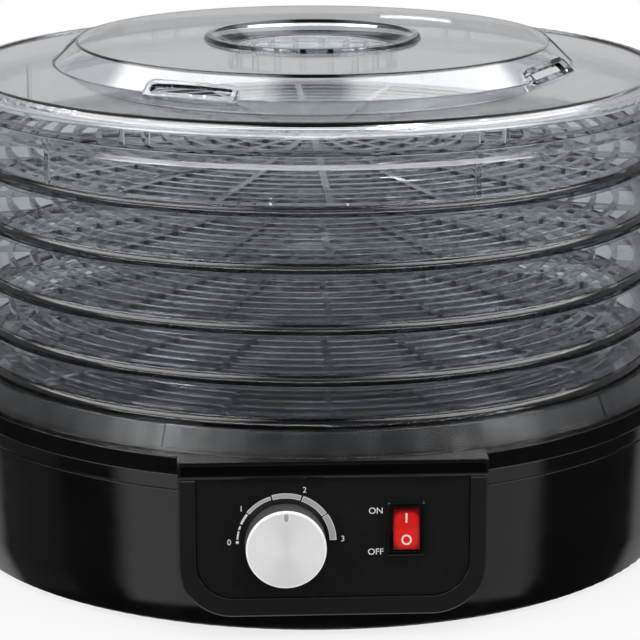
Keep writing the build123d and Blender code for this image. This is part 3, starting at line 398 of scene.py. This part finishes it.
def bezel_black():
    """Black bezel moulding: deep black on the hood, paler on the frame under it, where the paler tone is a painted
    reflection of the pale table.
    """
    look = Surface("bezel_black", (0.008, 0.008, 0.008), 0.2, IOR=1.46, Specular_IOR_Level=0.4)
    plate_top = corners("panel_plate")[1].z
    # Painted reflection: the frame under the hood is painted paler, standing in for the table's light that it
    # mirrors.
    painted_reflection = ramp(look.tree, look.split(look.place)["Z"], plate_top + HOOD_FROM, plate_top + FRAME_TO)
    look.tint((0.0012, 0.0012, 0.0012), (0.012, 0.012, 0.0115), painted_reflection)
    look.vary("Roughness", 0.05, 0.1, look.noise(200, 4.0))
    look.soften(EDGE_R)
    look.emboss(look.noise(420, 1.0), 0.015 * MM, strength=0.2)
    return look


def satin_black():
    """Black moulding with a spark-eroded grain."""
    look = Surface("satin_black", (0.016, 0.016, 0.017), 0.45)
    look.texture(
        shades=((0.012, 0.012, 0.0125), (0.023, 0.023, 0.024)), clouds=(70, 4.0),
        roughness=(0.38, 0.52), wear=(400, 3.0),
        grain=(1800, 3.0), depth=0.03 * MM, relief=0.5,
    )
    return look


def knob_black():
    """Dark grey satin moulding of the knob's side."""
    look = Surface("knob_black", (0.05, 0.05, 0.05), 0.4)
    look.texture(
        shades=((0.042, 0.042, 0.041), (0.06, 0.06, 0.058)), clouds=(90, 4.0),
        roughness=(0.34, 0.46), wear=(400, 3.0),
        grain=(1800, 3.0), depth=0.02 * MM, relief=0.4,
    )
    return look


def rubber_black():
    """Soft black rubber with a dusty bloom."""
    look = Surface("rubber_black", (0.02, 0.02, 0.02), 0.8)
    look.texture(
        shades=((0.014, 0.014, 0.014), (0.035, 0.034, 0.033)), clouds=(160, 5.0),
        roughness=(0.7, 0.9), wear=(500, 3.0),
        grain=(2200, 3.0), depth=0.05 * MM, relief=0.5,
    )
    return look


def white_insulator():
    """Off-white heat-proof moulding with fine specks."""
    look = Surface("white_insulator", (0.8, 0.78, 0.72), 0.55)
    look.texture(
        shades=((0.7, 0.67, 0.6), (0.84, 0.82, 0.77)), clouds=(900, 5.0),
        roughness=(0.45, 0.65), wear=(300, 3.0),
        grain=(1500, 3.0), depth=0.03 * MM, relief=0.4,
    )
    return look


def bright_steel():
    """Zinc-plated steel, cloudy and lightly scratched."""
    look = Surface("bright_steel", (0.62, 0.62, 0.62), 0.3, Metallic=1.0)
    look.texture(
        shades=((0.5, 0.5, 0.49), (0.7, 0.7, 0.71)), clouds=(140, 4.0),
        roughness=(0.2, 0.42), wear=(700, 4.0, (1, 0.08, 1)),
        grain=(1600, 2.0, (1, 0.05, 1)), depth=0.01 * MM, relief=0.4,
    )
    return look


def knob_metal():
    """Turned aluminium: fine rings round the knob's axis, and a bevel at the rim painted near white and without
    metal, a painted highlight.
    """
    look = Surface("knob_metal", (0.78, 0.78, 0.785), 0.4, Metallic=0.3, Anisotropic=0.55)
    tangent = look.add("ShaderNodeTangent", direction_type="RADIAL", axis="Y")
    look.link(tangent.outputs["Tangent"], look.shader.inputs["Tangent"])
    low, high, middle = corners("knob_face")
    distance = look.radius(middle, plane=(1, 0, 1))
    rings = look.rings(distance, 5200, 3.0)
    look.tint((0.73, 0.73, 0.735), (0.84, 0.84, 0.845), rings)
    look.vary("Roughness", 0.35, 0.45, rings)
    bevel_r = (high.x - low.x) / 2 - KNOB_BEVEL
    bevel = ramp(look.tree, distance, bevel_r, bevel_r + KNOB_BEVEL_EDGE)
    # Painted highlight: the bevel is painted near white and its metal taken away, standing in for the bright ring
    # of light on the rim.
    look.cover((0.97, 0.97, 0.97), bevel)
    look.vary("Metallic", 0.3, 0.0, bevel)
    return look


def lamp_red():
    """Clear red rocker lit from behind: its colour is painted brighter round the lamp and darker towards its
    edges, and it glows.
    """
    look = Surface("lamp_red", (0.4, 0.008, 0.006), 0.16, IOR=1.49, Specular_IOR_Level=0.3)
    glow = look.core(corners("rocker_button")[2], LAMP_CORE, LAMP_REACH)
    # Painted light: the colour follows the glow, brighter round the lamp and darker towards the edges where its
    # light fades.
    look.tint((0.09, 0.002, 0.002), (0.50, 0.008, 0.006), glow)
    look.tint((0.0, 0.0, 0.0), (0.9, 0.015, 0.01), glow, "Emission Color")
    look.set("Emission Strength", LAMP_STRENGTH)
    look.vary("Roughness", 0.12, 0.22, look.noise(400, 3.0))
    return look


def heater_metal():
    """Heat-darkened metal sheath."""
    look = Surface("heater_metal", (0.25, 0.23, 0.22), 0.4, Metallic=1.0)
    look.texture(
        shades=((0.16, 0.13, 0.12), (0.36, 0.33, 0.31)), clouds=(80, 5.0),
        roughness=(0.32, 0.55), wear=(300, 4.0),
        grain=(900, 3.0), depth=0.02 * MM, relief=0.5,
    )
    return look


def core_steel():
    """Varnished steel sheets, stacked."""
    look = Surface("core_steel", (0.2, 0.2, 0.21), 0.4, Metallic=1.0)
    sheets = look.waves(320, "Z")
    look.tint((0.13, 0.13, 0.14), (0.27, 0.27, 0.28), sheets)
    look.vary("Roughness", 0.35, 0.5, look.noise(300, 3.0))
    look.emboss(sheets, 0.1 * MM, strength=0.6)
    return look


def coil_copper():
    """Enamelled copper wire, wound in rows."""
    look = Surface("coil_copper", (0.55, 0.25, 0.1), 0.3, Metallic=1.0)
    rows = look.waves(380, "X")
    look.tint((0.38, 0.15, 0.06), (0.66, 0.32, 0.14), rows)
    look.vary("Roughness", 0.22, 0.38, look.noise(300, 3.0))
    look.emboss(rows, 0.25 * MM, strength=0.8)
    return look


def bush_bronze():
    """Porous sintered bronze."""
    look = Surface("bush_bronze", (0.5, 0.34, 0.16), 0.5, Metallic=1.0)
    look.texture(
        shades=((0.38, 0.25, 0.11), (0.58, 0.41, 0.2)), clouds=(1200, 4.0),
        roughness=(0.4, 0.6), wear=(600, 3.0),
        grain=(2500, 3.0), depth=0.02 * MM, relief=0.5,
    )
    return look


def print_and_highlight_ink(name, colour):
    """Screen-printed ink with slightly uneven cover; the same look serves the painted highlight round the knob's
    pointer.
    """
    look = Surface(name, colour, 0.45)
    thin = [INK_THIN * channel for channel in colour]
    look.tint(thin, colour, look.noise(1500, 3.0))
    look.vary("Roughness", 0.38, 0.55, look.noise(900, 2.0))
    return look


def finish_nodes():
    """Gives every CAD node its own finish, or that of its kind of tray piece, or that of its record slot."""
    slots = {look.__name__: look().material for look in (
        gloss_black, satin_black, rubber_black, white_insulator, bright_steel, knob_metal, lamp_red,
        heater_metal, core_steel, coil_copper, bush_bronze,
    )}
    own = {
        "panel_plate": panel_film().material,
        "panel_bezel": bezel_black().material,
        "knob_body": knob_black().material,
        "switch_case": slots["gloss_black"],
        "lid": smoked_clear("smoked_lid", LID_SMOKE).material,
        "base_ring": smoked_clear("smoked_ring", RING_SMOKE, RING_ROUGHNESS).material,
    }
    kinds = {
        "hoop": smoked_hoop().material,
        "grid": smoked_clear("smoked_grid", TRAY_SMOKE).material,
    }
    for row in frame["record"]["subparts"]:
        node = row["node"]
        kind = node.split("_")[-1]
        mesh = frame["nodes"][node].data
        mesh.materials.clear()
        mesh.materials.append(own.get(node) or kinds.get(kind) or slots[row["material_slot"]])


def add_piece(name, mesh, material, body):
    """Puts a mesh in the scene as a piece that rides on a body."""
    mesh.materials.clear()
    mesh.materials.append(material)
    piece = bpy.data.objects.new(name, mesh)
    scene.collection.objects.link(piece)
    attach(piece, body)


def closed_prism(bm, outline, lift):
    """Prism from an outline of points, raised by a vector."""
    low = [bm.verts.new(point) for point in outline]
    high = [bm.verts.new(point + lift) for point in outline]
    count = len(outline)
    bm.faces.new(reversed(low))
    bm.faces.new(high)
    for i in range(count):
        j = (i + 1) % count
        bm.faces.new((low[i], low[j], high[j], high[i]))


def to_mesh(name, bm):
    """Closes a bmesh into a mesh with its faces turned outwards."""
    bmesh.ops.recalc_face_normals(bm, faces=bm.faces)
    mesh = bpy.data.meshes.new(name)
    bm.to_mesh(mesh)
    bm.free()
    return mesh


def join(name, meshes):
    """One mesh from several."""
    bm = bmesh.new()
    for mesh in meshes:
        bm.from_mesh(mesh)
    return to_mesh(name, bm)


def polar(centre, radius, turn):
    """Point on a circle in the XZ plane, at an angle in degrees."""
    return centre + radius * Vector((cos(radians(turn)), 0, sin(radians(turn))))


def arc_points(centre, radius, start, end, steps):
    """Points along an arc in the XZ plane, from one angle in degrees to another."""
    return [polar(centre, radius, start + (end - start) * k / steps) for k in range(steps + 1)]


def arc_outline(centre, radius, width, start, end, steps):
    """Outline of a curved bar in the XZ plane."""
    outer = arc_points(centre, radius + width / 2, start, end, steps)
    inner = arc_points(centre, radius - width / 2, start, end, steps)
    return outer + inner[::-1]


def text_mesh(words, size, place):
    """Solid lettering that faces -Y, as a mesh centred on a place."""
    curve = bpy.data.curves.new(words, "FONT")
    curve.body = words
    curve.size = size
    curve.align_x = "CENTER"
    curve.align_y = "CENTER"
    curve.extrude = PRINT_T
    holder = bpy.data.objects.new(words, curve)
    scene.collection.objects.link(holder)
    bpy.context.view_layer.update()
    mesh = bpy.data.meshes.new_from_object(holder.evaluated_get(bpy.context.evaluated_depsgraph_get()))
    bpy.data.objects.remove(holder)
    mesh.transform(Matrix.Translation(place) @ Matrix.Rotation(pi / 2, 4, "X"))
    return mesh


def print_dial(axis, white, grey):
    """Dial scale with its start dot, the grey fill of its broad steps, and its numbers."""
    proud = Vector((0, -PRINT_T, 0))
    inset = degrees(SCALE_LINE / SCALE_R)
    lines, fills = bmesh.new(), bmesh.new()
    for start, end, width in SCALE_STEPS:
        closed_prism(lines, arc_outline(axis, SCALE_R, width * MM, start, end, ARC_STEPS), proud)
        if width > FILL_FROM:
            fill_w = width * MM - 2 * SCALE_LINE
            fill = arc_outline(axis, SCALE_R, fill_w, start + inset, end - inset, ARC_STEPS)
            closed_prism(fills, [point + proud for point in fill], proud / 2)
    dot = arc_points(polar(axis, SCALE_R, 180), START_DOT_R, 0, 360, DOT_STEPS)
    closed_prism(lines, dot[:-1], proud)
    add_piece("dial_scale", to_mesh("dial_scale", lines), white, "base")
    add_piece("dial_fill", to_mesh("dial_fill", fills), grey, "base")
    numbers = [text_mesh(words, DIAL_TEXT_H, polar(axis, radius * MM, turn))
               for words, turn, radius in DIAL_NUMBERS]
    add_piece("dial_numbers", join("dial_numbers", numbers), white, "base")


def print_labels(front, white):
    """ON and OFF beside the switch."""
    low, _, middle = corners("switch_case")
    labels = [text_mesh(words, LABEL_TEXT_H, Vector((low.x - LABEL_OUT, front, middle.z + rise * MM)))
              for words, rise in LABELS]
    add_piece("switch_labels", join("switch_labels", labels), white, "base")


def print_panel():
    """Print on the panel plate: the dial round the knob and the switch's labels."""
    white = print_and_highlight_ink("print_white", INK_WHITE).material
    grey = print_and_highlight_ink("print_grey", INK_GREY).material
    front = corners("panel_plate")[0].y
    knob = corners("knob_face")[2]
    print_dial(Vector((knob.x, front, knob.z)), white, grey)
    print_labels(front, white)


def mark_knob():
    """White painted highlight round the edge of the knob's pointer groove, open at the rim, and grey paint on its
    floor.
    """
    low, high, middle = corners("knob_face")
    foot = Vector((middle.x, low.y, high.z - POINTER_EDGE - POINTER_L + POINTER_W / 2))
    proud = Vector((0, -PRINT_T, 0))

    def half_round(radius):
        """Lower half of a circle round the groove's foot, from left to right."""
        return arc_points(foot, radius, 180, 360, ARC_STEPS)

    def above(point, top):
        """The point straight above another at a height."""
        return Vector((point.x, point.y, top))

    flat_top = high.z - KNOB_BEVEL
    outer, inner = half_round(POINTER_W / 2 + POINTER_LINE), half_round(POINTER_W / 2)
    outline = outer + [above(outer[-1], flat_top), above(inner[-1], flat_top)]
    outline += inner[::-1] + [above(inner[0], flat_top), above(outer[0], flat_top)]
    # Painted highlight: a white line where the groove's edge would catch the light.
    lines = bmesh.new()
    closed_prism(lines, outline, proud)
    white = print_and_highlight_ink("pointer_highlight", POINTER_HIGHLIGHT_WHITE).material
    add_piece("pointer_edge_highlight", to_mesh("pointer_edge_highlight", lines), white, "knob")

    floor = half_round(POINTER_W / 2 - PRINT_T)
    floor_top = high.z - POINTER_EDGE - POINTER_W / 2
    floor += [above(floor[-1], floor_top), above(floor[0], floor_top)]
    paint = bmesh.new()
    closed_prism(paint, [point + Vector((0, POINTER_DEPTH, 0)) for point in floor], proud)
    grey = print_and_highlight_ink("pointer_grey", POINTER_GREY).material
    add_piece("pointer_paint", to_mesh("pointer_paint", paint), grey, "knob")


def mark_rocker():
    """Raised I and O on the rocker's two faces, in its rest tilt."""
    pivot = Vector(next(j for j in frame["joints"] if j["name"] == "switch_rock")["pos_m"])
    rest = Matrix.Translation(pivot) @ Matrix.Rotation(-ROCKER_TILT, 4, "X")
    marks = bmesh.new()

    def raise_mark(side, outline):
        """Raises an outline on one half of the rocker: X across, Z along the face, -Y outwards."""
        out, along = MARK_OUT * sin(ROCKER_TILT), MARK_OUT * cos(ROCKER_TILT)
        middle = Matrix.Translation((0, -ROCKER_DIP - out, side * along))
        face = rest @ middle @ Matrix.Rotation(side * ROCKER_TILT, 4, "X")
        lift = face.to_3x3() @ Vector((0, -MARK_T, 0))
        closed_prism(marks, [face @ point for point in outline], lift)

    half_w, half_h = BAR_W / 2, BAR_H / 2
    bar = ((-half_w, -half_h), (half_w, -half_h), (half_w, half_h), (-half_w, half_h))
    raise_mark(1, [Vector((x, 0, z)) for x, z in bar])
    step = 360 / RING_STEPS
    for k in range(RING_STEPS):
        raise_mark(-1, arc_outline(Vector(), RING_R, RING_W, step * k, step * (k + 1), 1))
    bmesh.ops.remove_doubles(marks, verts=marks.verts, dist=WELD)
    white = print_and_highlight_ink("mark_white", MARK_WHITE).material
    add_piece("rocker_marks", to_mesh("rocker_marks", marks), white, "rocker")


def room_in_gloss(tree):
    """Level of the room that glossy surfaces mirror: a dim floor, and the panes by azimuth and elevation."""
    where = tree.nodes.new("ShaderNodeTexCoord")
    split = tree.nodes.new("ShaderNodeSeparateXYZ")
    tree.links.new(where.outputs["Generated"], split.inputs["Vector"])
    rise = calc(tree, "DEGREES", calc(tree, "ARCSINE", split.outputs["Z"]))
    ahead = calc(tree, "MULTIPLY", split.outputs["Y"], -1)
    azimuth = calc(tree, "DEGREES", calc(tree, "ARCTAN2", split.outputs["X"], ahead))
    total = GLOSS_FLOOR
    for left, right, soft_turn, low, high, soft_rise, level in GLOSS_PANES:
        across = window(tree, azimuth, left, right, soft_turn)
        pane = calc(tree, "MULTIPLY", across, window(tree, rise, low, high, soft_rise))
        total = calc(tree, "ADD", total, calc(tree, "MULTIPLY", pane, level))
    return total


def seen_level(tree, glossy, diffuse):
    """White for camera and transmission rays, and its own level for glossy and diffuse ones."""
    path = tree.nodes.new("ShaderNodeLightPath")
    straight = calc(tree, "MAXIMUM", path.outputs["Is Camera Ray"], path.outputs["Is Transmission Ray"])
    mirrored = calc(tree, "MULTIPLY", path.outputs["Is Glossy Ray"], glossy)
    lit = calc(tree, "MULTIPLY", path.outputs["Is Diffuse Ray"], diffuse)
    return calc(tree, "MAXIMUM", straight, calc(tree, "MAXIMUM", mirrored, lit))


def light_world():
    """White world with the room that glossy surfaces mirror."""
    world = bpy.data.worlds.new("studio")
    scene.world = world
    world.use_nodes = True
    tree = world.node_tree
    backdrop = tree.nodes["Background"]
    backdrop.inputs["Color"].default_value = (1, 1, 1, 1)
    tree.links.new(seen_level(tree, room_in_gloss(tree), WORLD_FILL), backdrop.inputs["Strength"])


def floor_white():
    """White floor paint that keeps a shadow near the object and turns into plain white further out."""
    look = Surface("floor_white", (0.9, 0.9, 0.9), 0.9)
    look.tint((0.88, 0.88, 0.88), (0.92, 0.92, 0.92), look.noise(3, 3.0))
    distance = look.vector("LENGTH", look.place)
    fade = ramp(look.tree, distance, FLOOR_NEAR, FLOOR_FAR, low=FLOOR_GLOW, kind="SMOOTHSTEP")
    share = calc(look.tree, "MULTIPLY", seen_level(look.tree, 0.0, 0.0), fade)
    glow = look.add("ShaderNodeEmission")
    blend = look.add("ShaderNodeMixShader")
    look.link(share, blend.inputs["Fac"])
    look.link(look.shader.outputs["BSDF"], blend.inputs[1])
    look.link(glow.outputs["Emission"], blend.inputs[2])
    look.link(blend.outputs["Shader"], look.output.inputs["Surface"])
    return look


def lay_floor():
    """Floor under the object, which glossy surfaces don't mirror."""
    bm = bmesh.new()
    bmesh.ops.create_grid(bm, x_segments=FLOOR_CELLS, y_segments=FLOOR_CELLS, size=FLOOR_HALF)
    mesh = bpy.data.meshes.new("floor")
    bm.to_mesh(mesh)
    bm.free()
    mesh.materials.append(floor_white().material)
    floor = bpy.data.objects.new("floor", mesh)
    scene.collection.objects.link(floor)
    floor.visible_glossy = False


def hang_lamps():
    """Soft boxes that face the object, which glossy surfaces don't mirror."""
    for name, place, width, height, watts in LAMPS:
        light = bpy.data.lights.new(name, "AREA")
        light.shape = "RECTANGLE"
        light.size = width
        light.size_y = height
        light.energy = watts
        lamp = bpy.data.objects.new(name, light)
        scene.collection.objects.link(lamp)
        lamp.location = place
        lamp.rotation_euler = (Vector(LAMP_AIM) - Vector(place)).to_track_quat("-Z", "Y").to_euler()
        lamp.visible_glossy = False


def photograph():
    """Camera, colour handling and light paths."""
    camera = bpy.data.cameras.new("camera")
    camera.lens = CAMERA_LENS
    camera.sensor_width = SENSOR_W
    camera.clip_end = CAMERA_REACH
    holder = bpy.data.objects.new("camera", camera)
    scene.collection.objects.link(holder)
    holder.location = CAMERA_PLACE
    holder.rotation_euler = (radians(90 - CAMERA_PITCH), 0, radians(CAMERA_HEADING))
    scene.camera = holder
    scene.view_settings.view_transform = "Standard"
    scene.cycles.max_bounces = CLEAR_BOUNCES
    scene.cycles.transmission_bounces = CLEAR_BOUNCES
    scene.cycles.transparent_max_bounces = CLEAR_BOUNCES
    scene.cycles.caustics_refractive = False
    scene.cycles.caustics_reflective = False


finish_nodes()
print_panel()
mark_knob()
mark_rocker()
light_world()
lay_floor()
hang_lamps()
photograph()
